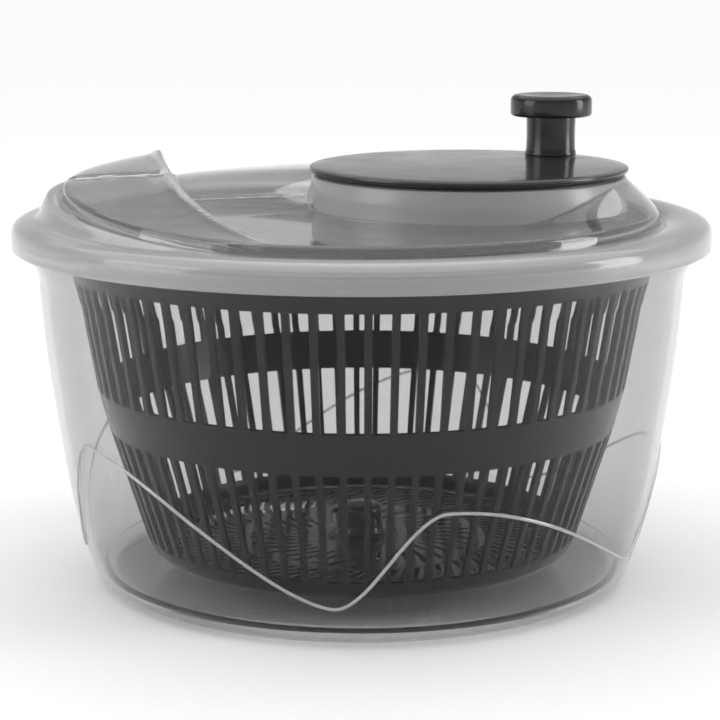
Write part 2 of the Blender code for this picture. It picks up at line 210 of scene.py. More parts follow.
def let_light_through(material: bpy.types.Material, tint: float) -> None:
    """Let a clear plastic cast a pale shadow, as thin clear walls do.

    Args:
        material: A clear material with one Principled shader.
        tint: Share of the light that each surface lets through.
    """
    nodes, links = material.node_tree.nodes, material.node_tree.links
    path = nodes.new("ShaderNodeLightPath")
    clear = nodes.new("ShaderNodeBsdfTransparent")
    clear.inputs["Color"].default_value = (tint, tint, tint, 1.0)
    mix = nodes.new("ShaderNodeMixShader")
    output = nodes["Material Output"]
    links.new(path.outputs["Is Shadow Ray"], mix.inputs["Fac"])
    links.new(nodes["Principled BSDF"].outputs["BSDF"], mix.inputs[1])
    links.new(clear.outputs["BSDF"], mix.inputs[2])
    links.new(mix.outputs["Shader"], output.inputs["Surface"])


@dataclass(frozen=True)
class ClearFinish:
    """Clear moulded plastic, with its tint and how milky it is."""

    name: str
    tint: tuple[float, float, float]
    roughness: float
    shadow_tint: float
    ior: float = 1.49
    transmission: float = 1.0
    reflection: float = 1.0
    haze: float = 0.0
    edge_tint: float | None = None
    ripple: float = 0.00001

    def build(self) -> bpy.types.Material:
        """Make the material."""
        material, shader = new_material(self.name)
        shader.inputs["Base Color"].default_value = (*self.tint, 1.0)
        shader.inputs["Roughness"].default_value = self.roughness
        shader.inputs["IOR"].default_value = self.ior
        shader.inputs["Transmission Weight"].default_value = self.transmission
        shader.inputs["Specular Tint"].default_value = (*(self.reflection,) * 3, 1.0)
        shader.inputs["Sheen Weight"].default_value = self.haze
        shader.inputs["Sheen Roughness"].default_value = SHEEN_ROUGHNESS
        add_grain(material, MOULD_RIPPLE_SCALE, self.ripple)
        if self.edge_tint is not None:
            deepen_edges(material, self.tint[0], self.edge_tint)
        let_light_through(material, self.shadow_tint)
        return material


@dataclass(frozen=True)
class SolidFinish:
    """Opaque moulded plastic, with slight drift in its gloss."""

    name: str
    colour: tuple[float, float, float]
    gloss: tuple[float, float]
    specular: float = 0.5
    haze: float = 0.0
    grain_scale: float = 900.0
    grain_height: float = 0.00001

    def build(self) -> bpy.types.Material:
        """Make the material."""
        material, shader = new_material(self.name)
        shader.inputs["Base Color"].default_value = (*self.colour, 1.0)
        shader.inputs["Specular IOR Level"].default_value = self.specular
        shader.inputs["Sheen Weight"].default_value = self.haze
        shader.inputs["Sheen Roughness"].default_value = SHEEN_ROUGHNESS
        vary_roughness(material, GLOSS_DRIFT_SCALE, *self.gloss)
        add_grain(material, self.grain_scale, self.grain_height)
        return material


@dataclass(frozen=True)
class SteelFinish:
    """Zinc-plated steel with turned marks."""

    name: str = "plated_steel"
    colour: tuple[float, float, float] = (0.62, 0.62, 0.60)
    gloss: tuple[float, float] = (0.24, 0.42)
    gloss_scale: float = 700.0
    grain_scale: float = 2500.0
    grain_height: float = 0.000004

    def build(self) -> bpy.types.Material:
        """Make the material."""
        material, shader = new_material(self.name)
        shader.inputs["Base Color"].default_value = (*self.colour, 1.0)
        shader.inputs["Metallic"].default_value = 1.0
        vary_roughness(material, self.gloss_scale, *self.gloss)
        add_grain(material, self.grain_scale, self.grain_height)
        return material


@dataclass
class Finishes:
    """Every finish of the spinner, made once."""

    bowl: bpy.types.Material = field(init=False)
    lid: bpy.types.Material = field(init=False)
    rim: bpy.types.Material = field(init=False)
    tower: bpy.types.Material = field(init=False)
    ridge: bpy.types.Material = field(init=False)
    bead: bpy.types.Material = field(init=False)
    basket: bpy.types.Material = field(init=False)
    basket_floor_painted_glints: bpy.types.Material = field(init=False)
    crank: bpy.types.Material = field(init=False)
    knob: bpy.types.Material = field(init=False)
    plate: bpy.types.Material = field(init=False)
    gears_painted_shade: bpy.types.Material = field(init=False)
    steel: bpy.types.Material = field(init=False)

    def __post_init__(self) -> None:
        """Build the materials."""
        self.bowl = ClearFinish("clear_bowl_plastic", (0.70, 0.705, 0.70), 0.02, 0.97,
                                reflection=0.25, haze=0.3, edge_tint=0.44).build()
        self.lid = ClearFinish("milky_lid_plastic", (0.74, 0.745, 0.74), 0.045, 0.94,
                               transmission=0.95).build()
        self.rim = ClearFinish("milky_rim_plastic", (0.56, 0.565, 0.56), 0.13, 0.90,
                               transmission=0.68).build()
        # Painted shade: the tower wall's darker tint stands in for the shade under the crank
        # disc; its milkiness is real.
        self.tower = ClearFinish("milky_tower_plastic_painted_shade", (0.60, 0.605, 0.60), 0.26, 0.90,
                                 transmission=0.6).build()
        self.ridge = ClearFinish("milky_ridge_plastic", (0.78, 0.785, 0.78), 0.16, 0.92,
                                 transmission=0.72).build()
        self.bead = ClearFinish("clear_bead_plastic", (0.84, 0.84, 0.84), 0.12, 0.97,
                                transmission=0.75).build()
        self.basket = SolidFinish("dark_basket_plastic", (0.012, 0.012, 0.013),
                                  (0.19, 0.27), specular=0.5, haze=0.25,
                                  grain_scale=420.0, grain_height=0.000003).build()
        # Painted light: the floor's colour is paler than the basket's own dark plastic,
        # standing in for light glinting off the floor through the slots; its higher gloss is
        # real.
        self.basket_floor_painted_glints = SolidFinish("glossy_floor_painted_glints", (0.05, 0.05, 0.053),
                                        (0.08, 0.13), specular=0.9).build()
        self.crank = SolidFinish("dark_crank_plastic", (0.030, 0.030, 0.032),
                                 (0.12, 0.18)).build()
        self.knob = SolidFinish("dark_knob_plastic", (0.014, 0.014, 0.015),
                                (0.14, 0.20), specular=0.4).build()
        self.plate = SolidFinish("dark_plate_plastic", (0.022, 0.022, 0.023),
                                 (0.22, 0.34)).build()
        # Painted shade: the nylon gears are coloured far darker than natural nylon, standing
        # in for the shade inside the tower under the crank disc.
        self.gears_painted_shade = SolidFinish("nylon_gear_painted_shade", (0.14, 0.138, 0.132),
                                 (0.35, 0.5)).build()
        self.steel = SteelFinish().build()


# ---------------------------------------------------------------- mesh helpers
def turned(outline: Outline, steps: int, closed: bool = True) -> bmesh.types.BMesh:
    """Spin an (r, z) outline about the vertical axis.

    Args:
        outline: Points in millimetres, in order.
        steps: Divisions of the full turn.
        closed: Whether the last point joins the first.

    Returns:
        The turned mesh, in millimetres.
    """
    shape = bmesh.new()
    points = [shape.verts.new((r, 0.0, z)) for r, z in outline]
    edges = [shape.edges.new(pair) for pair in zip(points, points[1:])]
    if closed:
        edges.append(shape.edges.new((points[-1], points[0])))
    bmesh.ops.spin(shape, geom=points + edges, cent=(0, 0, 0), axis=(0, 0, 1),
                   angle=2 * pi, steps=steps, use_merge=True)
    bmesh.ops.remove_doubles(shape, verts=shape.verts, dist=EDGE_CLOSE)
    return shape


def arc(centre: tuple[float, float], radius: float, start: float, end: float,
        count: int) -> Outline:
    """Points along a rounded corner.

    Args:
        centre: Middle of the arc, as (r, z).
        radius: Radius of the corner.
        start: First angle in degrees, 0 outwards and 90 upwards.
        end: Last angle in degrees.
        count: Number of points.

    Returns:
        The arc's points.
    """
    turns = [radians(start + (end - start) * i / (count - 1)) for i in range(count)]
    return [(centre[0] + radius * cos(a), centre[1] + radius * sin(a)) for a in turns]


def smooth_path(points: Outline, pieces: int) -> Outline:
    """Points along a smooth curve through the given points.

    Args:
        points: Points that the curve passes through.
        pieces: Divisions between each two of them.

    Returns:
        The denser curve.
    """
    dense: Outline = []
    for i in range(len(points) - 1):
        a, b = points[max(i - 1, 0)], points[i]
        c, d = points[i + 1], points[min(i + 2, len(points) - 1)]
        for k in range(pieces):
            t = k / pieces
            dense.append(tuple(
                0.5 * (2 * q + (r - p) * t + (2 * p - 5 * q + 4 * r - s) * t * t
                       + (3 * q - p - 3 * r + s) * t ** 3)
                for p, q, r, s in zip(a, b, c, d)))
    return dense + [points[-1]]


def offset_path(points: Outline, wall: float) -> Outline:
    """Move an outline, which runs from base to rim, inwards by a wall.

    Args:
        points: The outer outline.
        wall: Wall thickness.

    Returns:
        The inner outline, in the same order.
    """
    moved: Outline = []
    for i, (r, z) in enumerate(points):
        r0, z0 = points[max(i - 1, 0)]
        r1, z1 = points[min(i + 1, len(points) - 1)]
        length = hypot(r1 - r0, z1 - z0) or 1.0
        moved.append((r - wall * (z1 - z0) / length, z + wall * (r1 - r0) / length))
    return moved


def smoothstep(value: float) -> float:
    """Ease from 0 to 1.

    Args:
        value: Place along the way, where 0 is the start and 1 the end.

    Returns:
        The eased share, never below 0 or above 1.
    """
    value = min(1.0, max(0.0, value))
    return value * value * (3 - 2 * value)


def make_piece(name: str, shape: bmesh.types.BMesh, material: bpy.types.Material, body: Body,
               at: tuple[float, float] = (0.0, 0.0), sharp: float = 38.0,
               outward: bool = True) -> bpy.types.Object:
    """Turn a mesh in millimetres into a piece that rides on a body.

    Args:
        name: Name of the piece.
        shape: The mesh; it is freed.
        material: Its finish.
        body: The body that it rides on.
        at: Where the mesh's own axis stands, in millimetres.
        sharp: Angle in degrees past which an edge stays sharp.
        outward: Turn the normals outwards; a mesh that has them right says False.

    Returns:
        The new object.
    """
    if outward:
        bmesh.ops.recalc_face_normals(shape, faces=shape.faces)
    shape.transform(Matrix.Scale(MM, 4) @ Matrix.Translation((*at, 0.0)))
    mesh = bpy.data.meshes.new(name)
    shape.to_mesh(mesh)
    shape.free()
    mesh.materials.append(material)
    mesh.shade_smooth()
    mesh.set_sharp_from_angle(angle=radians(sharp))
    piece = bpy.data.objects.new(name, mesh)
    bpy.context.scene.collection.objects.link(piece)
    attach(piece, body.value)
    LOG.info("%s: %d faces", name, len(mesh.polygons))
    return piece


def keep_nodes(nodes: dict[str, bpy.types.Object], names: list[str],
               material: bpy.types.Material) -> None:
    """Give frame parts a finish.

    Args:
        nodes: The frame's objects by name.
        names: Which of them to dress.
        material: The finish.
    """
    for name in names:
        mesh = nodes[name].data
        mesh.materials.clear()
        mesh.materials.append(material)
        LOG.info("%s: finished as %s", name, material.name)


# ---------------------------------------------------------------- bowl
@dataclass
class Bowl:
    """Clear bowl with a rounded foot, a rim flange, a pivot pin and a wave bead."""

    wall: float = 2.6
    floor: float = 3.2
    rim: float = 125.6
    rim_low: float = 128.0
    rim_top: float = 132.0
    steps: int = 180
    side: Outline = field(default_factory=lambda: [
        (92.0, 0.0), (97.4, 1.2), (101.4, 4.6), (103.9, 10.0), (107.3, 22.0),
        (111.8, 43.0), (117.9, 86.0), (120.6, 118.0)])
    bead_radius: float = 0.6
    bead_low: float = 15.5
    bead_sides: int = 8
    bead_steps: int = 540
    bead_proud: float = 0.25
    climb: float = 20.0
    descent: float = 53.0
    crests: tuple[tuple[float, float], ...] = (
        (212.0, 62.0), (285.0, 50.0), (357.0, 52.0), (69.0, 58.0), (140.0, 56.0))

    def outline(self) -> Outline:
        """Draw the bowl's section, from under the base round to the top of the pin.

        Returns:
            Points from the middle of the underside to the middle of the pin's top.
        """
        outer = smooth_path(self.side, 6)
        inner = offset_path(outer[12:], self.wall)
        rim = ([(self.rim - 1.0, self.rim_low)]
               + arc((self.rim - 0.8, self.rim_low + 0.8), 0.8, -60, 0, 3)
               + arc((self.rim - 0.8, self.rim_top - 0.8), 0.8, 0, 90, 4)
               + arc((123.2, self.rim_top - 0.8), 0.8, 90, 180, 4))
        floor = arc((88.5, self.floor + 11.0), 11.0, -35, -90, 6)
        flat = [(70.0, self.floor), (40.0, self.floor)]
        pin = ([(11.5, self.floor), (10.0, self.floor + 0.8), (9.4, self.floor + 2.8),
                (4.0, self.floor + 2.8), (4.0, 20.2)] + arc((3.2, 20.2), 0.8, 0, 90, 4)
               + [(0.0, 21.0)])
        under = [(0.0, 0.7), (40.0, 0.6), (74.0, 0.3), (86.0, 0.0)]
        return under + outer + rim + inner[::-1] + floor + flat + pin

    def wave_height(self, angle: float) -> float:
        """Height of the wave bead.

        Args:
            angle: Angle round the bowl, in degrees.

        Returns:
            Height above the table, in millimetres.
        """
        for crest, height in self.crests:
            away = (angle - crest + 180.0) % 360.0 - 180.0
            if -self.climb <= away <= self.descent:
                steep, gentle = away / self.climb, away / self.descent
                fall = smoothstep(-steep) if away < 0 else 1 - (1 - gentle) ** 1.6 * (
                    1 + 1.6 * gentle)
                return height - (height - self.bead_low) * min(1.0, fall)
        return self.bead_low

    def wall_radius(self, height: float) -> float:
        """Find the outer radius of the bowl.

        Args:
            height: Height above the table, in millimetres.

        Returns:
            The radius at that height, in millimetres.
        """
        for (r0, z0), (r1, z1) in zip(self.side, self.side[1:]):
            if z0 <= height <= z1:
                return r0 + (r1 - r0) * (height - z0) / (z1 - z0)
        return self.side[-1][0]

    def bead(self) -> bmesh.types.BMesh:
        """Sweep the thin round bead along the wave, on the outer wall.

        Returns:
            The closed bead, in millimetres.
        """
        shape = bmesh.new()
        first = bmesh.ops.create_circle(shape, segments=self.bead_sides,
                                        radius=self.bead_radius)["verts"]
        home = [v.co.copy() for v in first]
        count = self.bead_steps
        path = []
        for i in range(count):
            angle = 360.0 * i / count
            height = self.wave_height(angle)
            radius = self.wall_radius(height) + self.bead_proud
            path.append(Vector((radius * cos(radians(angle)), radius * sin(radians(angle)),
                                height)))
        ring = list(first)
        edges = list({e for v in ring for e in v.link_edges})
        start_edges = edges
        for i in range(count):
            here, ahead, behind = path[i], path[(i + 1) % count], path[i - 1]
            along = (ahead - behind).normalized()
            out = Vector((here.x, here.y, 0.0)).normalized()
            up = along.cross(out).normalized()
            out = up.cross(along).normalized()
            if i:
                made = bmesh.ops.extrude_edge_only(shape, edges=edges)["geom"]
                ring = [g for g in made if isinstance(g, bmesh.types.BMVert)]
                edges = [g for g in made if isinstance(g, bmesh.types.BMEdge)
                         and all(v in ring for v in g.verts)]
            for vert, flat in zip(ring, home):
                vert.co = here + out * flat.x + up * flat.y
        bmesh.ops.bridge_loops(shape, edges=start_edges + edges)
        return shape

    def build(self, finishes: Finishes) -> None:
        """Make the bowl and its bead."""
        bowl = make_piece("clear_bowl", turned(self.outline(), self.steps, closed=False),
                          finishes.bowl, Body.BOWL)
        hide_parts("bowl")
        make_piece("bowl_wave_bead", self.bead(), finishes.bead, Body.BOWL)


# ---------------------------------------------------------------- basket
@dataclass
class Basket:
    """Slatted basket with two rows of slots and a floor of curved slots."""

    slats: int = 72
    slat_share: float = 0.30
    wall: float = 2.2
    floor: float = 10.4
    floor_edge: float = 74.0
    ripple: float = 0.13
    ripple_pitch: float = 1.75
    hub: float = 13.0
    spiral: float = 0.011
    spiral_fade: float = 12.0
    edge_round: float = 0.00035
    side: Outline = field(default_factory=lambda: [
        (74.0, 10.4), (78.0, 11.4), (81.0, 14.0), (82.8, 18.0), (95.8, 59.5), (96.1, 60.6),
        (99.6, 74.0), (99.9, 75.0), (103.6, 96.5), (107.0, 118.0), (107.3, 124.0),
        (107.7, 129.4), (109.4, 130.8), (110.3, 132.4), (110.4, 134.8)])
    lower_slots: tuple[float, float] = (18.0, 59.5)
    upper_slots: tuple[float, float] = (75.0, 118.0)
    floor_slots: tuple[tuple[float, float], ...] = ((24.0, 42.0), (48.0, 70.0))

    def profile(self) -> Outline:
        """Draw the line from the hub out over the rippled floor and up the wall.

        Returns:
            The outer line, from the hub's foot to the rim.
        """
        rings = [(self.hub + self.ripple_pitch * i, self.floor) for i in range(40)]
        rippled = [(r, z + (self.ripple if i % 2 else 0.0)) for i, (r, z) in enumerate(rings)]
        return [p for p in rippled if p[0] < self.floor_edge - 1.0] + self.side

    def slotting(self, r: float, z: float) -> Slotting:
        """Tell how a ring of faces is slotted.

        Args:
            r: Radius of the face's middle.
            z: Height of the face's middle.

        Returns:
            Which of the ring's slots are open.
        """
        for low, high in (self.lower_slots, self.upper_slots):
            if low < z < high:
                return Slotting.EVERY
        if z < self.floor + 1.0:
            inner, outer = self.floor_slots
            if inner[0] < r < inner[1]:
                return Slotting.SECOND
            if outer[0] < r < outer[1]:
                return Slotting.EVERY
        return Slotting.SOLID

    def shell(self) -> bmesh.types.BMesh:
        """Turn the skin, open its slots and give it a wall.

        The skin is faced so that its floor looks down, because the wall grows inwards.

        Returns:
            The closed shell, in millimetres.
        """
        count = self.slats * 2
        shape = turned(self.profile(), count, closed=False)
        bmesh.ops.recalc_face_normals(shape, faces=shape.faces)
        column = 2 * pi / count
        openings = []
        for face in shape.faces:
            middle = face.calc_center_median()
            index = int(((atan2(middle.y, middle.x)) % (2 * pi)) / column)
            kind = self.slotting(hypot(middle.x, middle.y), middle.z)
            if ((kind is Slotting.EVERY and index % 2)
                    or (kind is Slotting.SECOND and index % 4 == 1)):
                openings.append(face)
            # Floor faces take the second finish, whose paler colour is painted light on the
            # floor.
            face.material_index = 1 if middle.z < self.floor + 1.0 else 0
        for vert in shape.verts:
            r, z = hypot(vert.co.x, vert.co.y), vert.co.z
            index = round((atan2(vert.co.y, vert.co.x) % (2 * pi)) / column)
            on_floor = r < self.floor_edge + 0.5 and z < self.floor + 1.0
            share = 0.5 if on_floor else self.slat_share
            shift = (0.5 - share) * column * (1 if index % 2 == 0 else -1)
            angle = index * column + shift
            if on_floor:
                inward = self.floor_edge - r
                angle += self.spiral * inward * smoothstep(inward / self.spiral_fade)
            vert.co = Vector((r * cos(angle), r * sin(angle), z))
        bmesh.ops.delete(shape, geom=openings, context="FACES")
        if sum(f.normal.z * f.calc_area() for f in shape.faces if f.normal.z > 0.9) > 0:
            bmesh.ops.reverse_faces(shape, faces=shape.faces)
        bmesh.ops.solidify(shape, geom=shape.faces, thickness=self.wall)
        return shape

    def hub_shape(self) -> bmesh.types.BMesh:
        """Turn the raised hub that runs on the bowl's pin.

        Returns:
            The closed hub, in millimetres.
        """
        outline = ([(0.0, 23.9), (6.6, 23.9), (6.6, self.floor), (self.hub + 0.4, self.floor),
                    (self.hub + 0.4, self.floor + self.wall), (10.4, self.floor + 2.8),
                    (8.6, self.floor + 4.6), (7.9, self.floor + 7.0)]
                   + arc((5.6, 23.6), 2.2, 0, 90, 6) + [(3.0, 26.1), (0.0, 26.3)])
        return turned(outline, 48, closed=False)

    def ledge(self) -> bmesh.types.BMesh:
        """Bend four lengths of ledge inside the rim, with notches between for the lugs.

        Returns:
            The four closed lengths, in millimetres.
        """
        shape = bmesh.new()
        for quarter in range(4):
            points = [shape.verts.new((r, 0.0, z)) for r, z in
                      ((100.4, 121.8), (106.0, 121.8), (106.2, 123.8), (100.4, 123.8))]
            face = shape.faces.new(points)
            turn = Matrix.Rotation(radians(90 * quarter + 7.5), 4, "Z")
            bmesh.ops.transform(shape, matrix=turn, verts=points)
            bmesh.ops.spin(shape, geom=[face], cent=(0, 0, 0), axis=(0, 0, 1),
                           angle=radians(75), steps=30, use_merge=False)
        return shape

    def build(self, finishes: Finishes) -> None:
        """Make the basket's pieces."""
        basket = make_piece("slatted_basket", self.shell(), finishes.basket, Body.BASKET,
                            outward=False)
        # The floor's finish has real gloss, with painted light in its paler colour.
        basket.data.materials.append(finishes.basket_floor_painted_glints)
        edge = basket.modifiers.new("soft_edges", "BEVEL")
        edge.width = self.edge_round
        edge.segments = 2
        edge.limit_method = "ANGLE"
        edge.angle_limit = radians(50)
        make_piece("basket_hub", self.hub_shape(), finishes.basket, Body.BASKET)
        make_piece("basket_ledge", self.ledge(), finishes.basket, Body.BASKET)
        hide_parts("basket")


# ---------------------------------------------------------------- lid
@dataclass
class Lid:
    """Milky clear lid: skirt, rim, plate with the raised hood, and the crank tower."""

    steps: int = 400
    wall: float = 2.2
    plate_r: float = 110.0
    plate_z: float = 140.4
    tower_r: float = 58.7
    tower_top: float = 152.2
    crank_x: float = 40.0
    rim_r: float = 115.2
    lift_low: float = 132.5
    hood_r: float = 121.5
    hood_rise: float = 9.8
    hood_back: float = 136.5
    hood_crest: float = 174.0
    hood_end: float = 258.0
    swoosh: tuple[tuple[float, float], ...] = ((-76.0, 78.0), (-60.0, -24.0), (-26.0, -106.0))
    flare_rise: float = 10.8
    flare_middle: float = 62.0
    flare_half: float = 140.0
    flare_fade: float = 52.0
    flare_behind: float = 30.0
    flare_hollow: float = 0.90
    flare_full: float = 0.42
    swoosh_lean: float = 0.97
    hood_round: float = 5.5
    hood_back_fade: float = 6.0
    bead_width: float = 2.6

    def hood_fall(self, angle: float) -> float:
        """How much of its full height the hood has at an angle in degrees."""
        return smoothstep((self.hood_end - angle) / (self.hood_end - self.hood_crest))

    def swoosh_side(self, x: float, y: float) -> float:
        """Measure how far a point lies from the hood's inner edge.

        Args:
            x: Place across the lid, in millimetres.
            y: Place along the lid, in millimetres.

        Returns:
            The distance in millimetres, positive towards the rim.
        """
        (x0, y0), (xm, ym), (x1, y1) = self.swoosh
        share = (y - y0) / (y1 - y0)
        bow = xm - (x0 + (x1 - x0) * (ym - y0) / (y1 - y0))
        edge_x = x0 + (x1 - x0) * share + bow * 4 * share * (1 - share)
        return (edge_x - x) * self.swoosh_lean

    def hood_height(self, x: float, y: float) -> float:
        """Work out the raised hood, with the rounded bead along its inner edge.

        Args:
            x: Place across the lid, in millimetres.
            y: Place along the lid, in millimetres.

        Returns:
            The rise above the plate, in millimetres.
        """
        angle = (atan2(y, x) % (2 * pi)) * 180 / pi
        fall = self.hood_fall(angle)
        wall = smoothstep((self.hood_r - hypot(x, y)) / self.hood_round)
        side = self.swoosh_side(x, y)
        width = 3.6 + 2.2 * fall
        step = smoothstep(side / width)
        end = smoothstep((angle - self.hood_back) / self.hood_back_fade)
        bead = exp(-((side - width) / self.bead_width) ** 2)
        return end * wall * (self.hood_rise * fall * step + bead * smoothstep(fall * 6))

    def on_ridge(self, x: float, y: float) -> bool:
        """Tell whether a point lies on the milky ridge along the hood's inner edge.

        Args:
            x: Place across the lid, in millimetres.
            y: Place along the lid, in millimetres.

        Returns:
            True on the ridge.
        """
        angle = (atan2(y, x) % (2 * pi)) * 180 / pi
        reach = 3.4 + 4.4 * self.hood_fall(angle)
        return (self.hood_back - 1.0 < angle < self.hood_end - 6.0
                and -0.6 < self.swoosh_side(x, y) < reach)

    def tower_share(self, x: float, y: float) -> float:
        """Work out how far a point is on its way from the plate's edge to the tower.

        Args:
            x: Place across the lid, in millimetres.
            y: Place along the lid, in millimetres.

        Returns:
            0 on the plate's edge and 1 on the tower's wall.
        """
        shrink = self.plate_r - self.tower_r
        a = self.crank_x ** 2 - shrink ** 2
        half_b = self.plate_r * shrink - self.crank_x * x
        c = x * x + y * y - self.plate_r ** 2
        root = max(0.0, half_b * half_b - a * c)
        return min(1.0, max(0.0, (-half_b + root ** 0.5) / a))

    def flare_height(self, x: float, y: float) -> float:
        """Work out the slope that sweeps up into the tower.

        Args:
            x: Place across the lid, in millimetres.
            y: Place along the lid, in millimetres.

        Returns:
            The rise above the plate, in millimetres.
        """
        around = atan2(y, x - self.crank_x) * 180 / pi
        away = abs((around - self.flare_middle + 180) % 360 - 180)
        facing = smoothstep((self.flare_half - away) / self.flare_fade)
        behind = smoothstep((around - self.flare_behind) / self.flare_fade)
        power = self.flare_hollow + (self.flare_full - self.flare_hollow) * behind
        return self.flare_rise * facing * self.tower_share(x, y) ** power

    def outline(self) -> Outline:
        """Draw the section over the rim and plate, up the tower and back underneath.

        Returns:
            The closed section, from the skirt's lower edge.
        """
        rim = ([(127.8, 127.0), (128.2, 126.99), (129.6, 127.0), (130.0, 127.4)]
               + smooth_path([(130.0, 130.0), (129.95, 133.0), (129.2, 135.2),
                              (127.4, 136.5), (124.4, 137.3), (120.6, 137.6),
                              (117.0, 137.3), (114.6, 136.7)], 3)
               + [(113.6, 136.2), (113.0, 135.6), (112.2, 135.3), (111.4, 135.6),
                  (111.0, 136.6), (110.9, 138.6), (110.6, 139.7), (110.0, 140.3)])
        count = 60
        plate = [(self.plate_r + (self.tower_r - self.plate_r) * i / count, self.plate_z)
                 for i in range(1, count + 1)]
        inside = self.tower_r - 2.0
        tower = ([(self.tower_r, 146.0), (self.tower_r, self.tower_top - 0.6),
                  (self.tower_r - 0.6, self.tower_top), (inside + 0.4, self.tower_top),
                  (inside, self.tower_top - 0.4), (inside, self.plate_z + 1.0),
                  (inside - 1.0, self.plate_z)]
                 + [(12.0 + 1.0, self.plate_z), (12.0, self.plate_z + 1.0), (12.0, 147.8),
                    (11.6, 148.2), (6.4, 148.2), (6.4, 142.4), (9.8, 142.4),
                    (9.8, self.plate_z - self.wall)])
        under = [(r - 0.8, z - self.wall) for r, z in plate[::-1]]
        under[0] = (self.tower_r - 0.8, self.plate_z - self.wall)
        under_rim = [(109.2, 138.1), (109.5, 136.6), (110.6, 134.6), (112.2, 133.6),
                     (114.4, 134.4), (117.0, 135.0), (120.4, 135.3), (124.0, 135.0),
                     (126.4, 134.2), (127.6, 132.6), (127.8, 130.0)]
        return rim + plate + tower + under + under_rim

    def zone(self, middle: Vector) -> LidZone:
        """Tell which zone a face belongs to.

        Args:
            middle: The face's middle, in millimetres.

        Returns:
            The zone.
        """
        if hypot(middle.x, middle.y) > self.rim_r:
            return LidZone.RIM
        if hypot(middle.x - self.crank_x, middle.y) < self.tower_r + 0.3:
            return LidZone.TOWER
        if self.on_ridge(middle.x, middle.y) and middle.z > self.plate_z - 2.0:
            return LidZone.RIDGE
        return LidZone.PLATE

    def raise_plate(self, shape: bmesh.types.BMesh) -> None:
        """Move the tower off the centre, then lift the hood and the slope.

        Args:
            shape: The turned lid, in millimetres; it is changed.
        """
        for vert in shape.verts:
            r, z = hypot(vert.co.x, vert.co.y), vert.co.z
            share = min(1.0, max(0.0, (self.plate_r - r) / (self.plate_r - self.tower_r)))
            vert.co.x += self.crank_x * share
            x, y = vert.co.x, vert.co.y
            if r <= self.tower_r - 1e-3 or not self.lift_low < z < self.plate_z + 0.5:
                continue
            vert.co.z += self.hood_height(x, y)
            on_tower_foot = z < self.plate_z - 1.0 and r < self.tower_r + 0.5
            if not on_tower_foot:
                vert.co.z += self.flare_height(x, y)

    def build(self, finishes: Finishes) -> None:
        """Make the lid and give each zone its finish."""
        shape = turned(self.outline(), self.steps)
        self.raise_plate(shape)
        for face in shape.faces:
            face.material_index = self.zone(face.calc_center_median()).value
        lid = make_piece("clear_lid", shape, finishes.lid, Body.LID, sharp=62.0)
        # The tower's finish carries painted shade in its darker tint.
        for finish in (finishes.rim, finishes.tower, finishes.ridge):
            lid.data.materials.append(finish)
        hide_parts("lid")


# ---------------------------------------------------------------- crank and knob
@dataclass
class Crank:
    """Off-centre crank disc with the post that the knob turns on."""

    centre: tuple[float, float] = (40.0, 0.0)
    knob_at: tuple[float, float] = (73.4, 34.0)
    radius: float = 59.5
    low: float = 152.8
    top: float = 155.6
    dome: float = 0.8

    def disc(self) -> bmesh.types.BMesh:
        """Turn the disc, with a fine rounded edge, a dished underside and its spigot.

        Returns:
            The closed disc, in millimetres.
        """
        r, top = self.radius, self.top
        dome = [(r * i / 12, top + self.dome * (1 - (i / 12) ** 2)) for i in range(12)]
        outline = (dome + arc((r - 0.7, top - 0.7), 0.7, 80, 0, 5)
                   + [(r, top - 1.1), (r - 0.3, top - 1.5), (r - 1.9, self.low + 0.3),
                      (r - 2.6, self.low), (38.0, self.low)]
                   + smooth_path([(36.0, 152.4), (24.0, 150.3), (12.0, 149.0)], 4)
                   + [(4.1, 149.0), (4.1, 140.9), (1.8, 140.9), (1.8, 147.9), (0.0, 147.9)])
        return turned(outline, 192, closed=False)

    def post(self) -> bmesh.types.BMesh:
        """Turn the short post inside the knob.

        Returns:
            The closed post, in millimetres.
        """
        outline = [(0.0, 157.6), (1.5, 157.6), (1.5, 168.2), (1.9, 168.6), (4.1, 168.6),
                   (4.5, 168.2), (4.5, 155.7), (0.0, 155.7)]
        return turned(outline, 32, closed=False)

    def build(self, finishes: Finishes) -> None:
        """Make the disc and the post."""
        disc = make_piece("crank_top_disc", self.disc(), finishes.crank, Body.CRANK,
                          at=self.centre)
        make_piece("knob_post", self.post(), finishes.crank, Body.CRANK,
                   at=self.knob_at)
        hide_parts("crank_disc")


